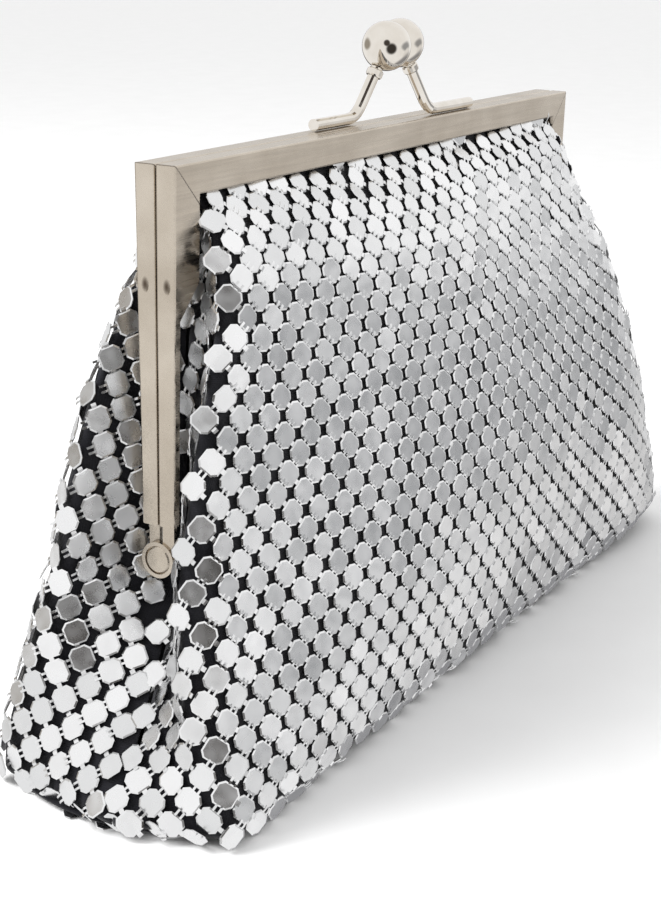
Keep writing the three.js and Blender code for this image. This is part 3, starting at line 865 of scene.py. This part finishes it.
def area_light(name, location, target, size, power):
    data = bpy.data.lights.new(name, "AREA")
    data.shape = "RECTANGLE"
    data.size, data.size_y = size[0] * MM, size[1] * MM
    data.energy = power
    obj = bpy.data.objects.new(name, data)
    obj.location = Vector(location) * MM
    obj.rotation_mode = "QUATERNION"
    obj.rotation_quaternion = (Vector(target) - Vector(location)).to_track_quat("-Z", "Y")
    bpy.context.scene.collection.objects.link(obj)
    return obj


def build_stage():
    floor = quad("floor", [(-4000, -4000, 0), (4000, -4000, 0), (4000, 4000, 0), (-4000, 4000, 0)],
                 floor_material())
    floor.visible_glossy = False
    bpy.context.scene.world = studio_world()
    key = area_light("key", (-450, 500, 700), (0, 0, 40), (450, 450), 9)
    key.visible_glossy = False


# Soft patches of the room that the metal mirrors: direction, how much flatter than wide, cosine
# where the patch starts to fade and where it is gone, and its brightness.
ROOM = [
    ((0.66, -0.74, -0.02), 2.4, 0.97, 0.80, (0.36, 0.365, 0.375)),  # grey wall beyond the front
    ((0.83, -0.47, -0.34), 1.5, 0.97, 0.90, (0.86, 0.85, 0.84)),  # lit table
    ((0.72, -0.10, -0.68), 1.0, 0.95, 0.80, (0.30, 0.30, 0.31)),  # shade under the front
    ((-0.60, -0.78, -0.16), 1.0, 0.955, 0.86, (0.05, 0.045, 0.04)),  # the photographer
    ((-0.83, -0.47, 0.30), 1.0, 0.985, 0.95, (0.07, 0.06, 0.055)),  # the camera
    ((0.83, 0.47, -0.28), 1.0, 0.97, 0.88, (0.10, 0.09, 0.08)),  # dark beyond the bag
    ((-0.22, 0.97, 0.05), 1.6, 0.97, 0.86, (0.36, 0.33, 0.29)),  # doorway behind
]


def room_patch(tree, start, patch, colour):
    """Mixes one soft patch over the colour so far."""
    direction, flat, inner, outer, tint = patch
    stretch = tree.nodes.new("ShaderNodeVectorMath")
    stretch.operation = "MULTIPLY"
    stretch.inputs[1].default_value = (1, 1, flat)
    even = tree.nodes.new("ShaderNodeVectorMath")
    even.operation = "NORMALIZE"
    dot = tree.nodes.new("ShaderNodeVectorMath")
    dot.operation = "DOT_PRODUCT"
    dot.inputs[1].default_value = Vector((direction[0], direction[1], direction[2] * flat)).normalized()
    fade = tree.nodes.new("ShaderNodeMapRange")
    fade.interpolation_type = "SMOOTHSTEP"
    fade.inputs["From Min"].default_value = outer
    fade.inputs["From Max"].default_value = inner
    mix = tree.nodes.new("ShaderNodeMix")
    mix.data_type = "RGBA"
    mix.inputs["B"].default_value = (*tint, 1)
    tree.links.new(start, stretch.inputs[0])
    tree.links.new(stretch.outputs[0], even.inputs[0])
    tree.links.new(even.outputs[0], dot.inputs[0])
    tree.links.new(dot.outputs["Value"], fade.inputs["Value"])
    tree.links.new(fade.outputs["Result"], mix.inputs["Factor"])
    tree.links.new(colour, mix.inputs["A"])
    return mix.outputs["Result"]


def studio_world():
    """Soft white studio with a few darker patches for the metal to mirror."""
    world = bpy.data.worlds.new("studio")
    world.use_nodes = True
    tree = world.node_tree
    direction = tree.nodes.new("ShaderNodeTexCoord").outputs["Generated"]
    white = tree.nodes.new("ShaderNodeRGB")
    white.outputs[0].default_value = (0.98, 0.98, 0.98, 1)
    colour = white.outputs[0]
    for patch in ROOM:
        colour = room_patch(tree, direction, patch, colour)
    tree.links.new(colour, tree.nodes["Background"].inputs["Color"])
    tree.nodes["Background"].inputs["Strength"].default_value = 1.0
    return world


def build_camera():
    """The photographer's place: low, off the bag's left end, looking along its front."""
    data = bpy.data.cameras.new("camera")
    data.sensor_fit = "VERTICAL"
    data.sensor_height = 36
    data.lens = 68.84
    data.clip_start, data.clip_end = 0.01, 100
    camera = bpy.data.objects.new("camera", data)
    forward = Vector((0.82939, 0.47375, -0.29609)).normalized()
    right = forward.cross(Vector((0, 0, 1))).normalized()
    up = right.cross(forward)
    roll = math.radians(1.166)
    right, up = (right * math.cos(roll) + up * math.sin(roll),
                 up * math.cos(roll) - right * math.sin(roll))
    turn = Matrix((right, up, -forward)).transposed()
    camera.matrix_world = Matrix.Translation(Vector((-375.37, -199.28, 179.61)) * MM) @ turn.to_4x4()
    bpy.context.scene.collection.objects.link(camera)
    bpy.context.scene.camera = camera


def look():
    """Plain display colours, so that the white ground stays white."""
    scene = bpy.context.scene
    scene.view_settings.view_transform = "Standard"
    scene.view_settings.look = "None"
    scene.view_settings.exposure = 0.0


# ---- clasp ----
def smooth_ball(name, node):
    """A finely rounded ball in place of a ball of the frame."""
    low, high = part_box(node)
    centre, radius = (low + high) / 2, (high.z - low.z) / 2
    rings, around = 40, 64
    verts = [(0, 0, radius)]
    for r in range(1, rings):
        level = math.pi * r / rings
        for k in range(around):
            turn = 2 * math.pi * k / around
            verts.append((radius * math.sin(level) * math.cos(turn),
                          radius * math.sin(level) * math.sin(turn), radius * math.cos(level)))
    verts.append((0, 0, -radius))
    last = len(verts) - 1
    faces = [(0, 1 + k, 1 + (k + 1) % around) for k in range(around)]
    for r in range(rings - 2):
        one, two = 1 + r * around, 1 + (r + 1) * around
        faces += [(one + k, two + k, two + (k + 1) % around, one + (k + 1) % around)
                  for k in range(around)]
    start = last - around
    faces += [(start + (k + 1) % around, start + k, last) for k in range(around)]
    mesh = bpy.data.meshes.new(name)
    mesh.from_pydata([tuple(Vector(v) + centre) for v in verts], [], faces)
    mesh.polygons.foreach_set("use_smooth", [True] * len(mesh.polygons))
    obj = bpy.data.objects.new(name, mesh)
    bpy.context.scene.collection.objects.link(obj)
    return obj


# ---- assembly ----
def build_mesh_and_lining():
    """The plaques and the lining, which cross the hinge between the pouch and the two halves."""
    metal, cloth = plaque_metal(), lining_cloth()
    front, back = build_plaques()
    base = build_base()
    front_lining = lining_half("front_cloth", FRONT_FACE, False)
    back_lining = lining_half("back_cloth", BACK_FACE, True)
    base_cloth = lining_base()
    for piece in (front, back, base):
        set_material(piece, metal)
    for piece in (front_lining, back_lining, base_cloth):
        set_material(piece, cloth)

    for piece, half in ((front, "front_half"), (back, "back_half"),
                        (front_lining, "front_half"), (back_lining, "back_half")):
        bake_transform(piece)
    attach(base, "pouch")
    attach(base_cloth, "pouch")
    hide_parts("mesh_pouch")
    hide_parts("front_mesh_panel")
    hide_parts("back_mesh_panel")
    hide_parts("pouch_lining")
    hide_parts("front_lining")
    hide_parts("back_lining")


def build_balls(polished):
    for half in ("front", "back"):
        ball = smooth_ball(half + "_ball", half + "_clasp_ball")
        set_material(ball, polished)
        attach(ball, half + "_half")
        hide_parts(half + "_clasp_ball")


def dress_frame(nickel, polished, cord):
    """Materials for the nodes that are kept from the CAD."""
    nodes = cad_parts
    for name in ("front_frame", "back_frame", "left_hinge_rivet", "right_hinge_rivet"):
        set_material(nodes[name], nickel)
    for name in nodes:
        if "clasp" in name:
            set_material(nodes[name], polished)
    for name in ("front_channel_cord", "back_channel_cord"):
        set_material(nodes[name], cord)


def main():
    build_camera()
    look()
    build_stage()
    build_mesh_and_lining()
    polished = clasp_nickel()
    build_balls(polished)
    dress_frame(frame_nickel(), polished, paper_cord())


main()
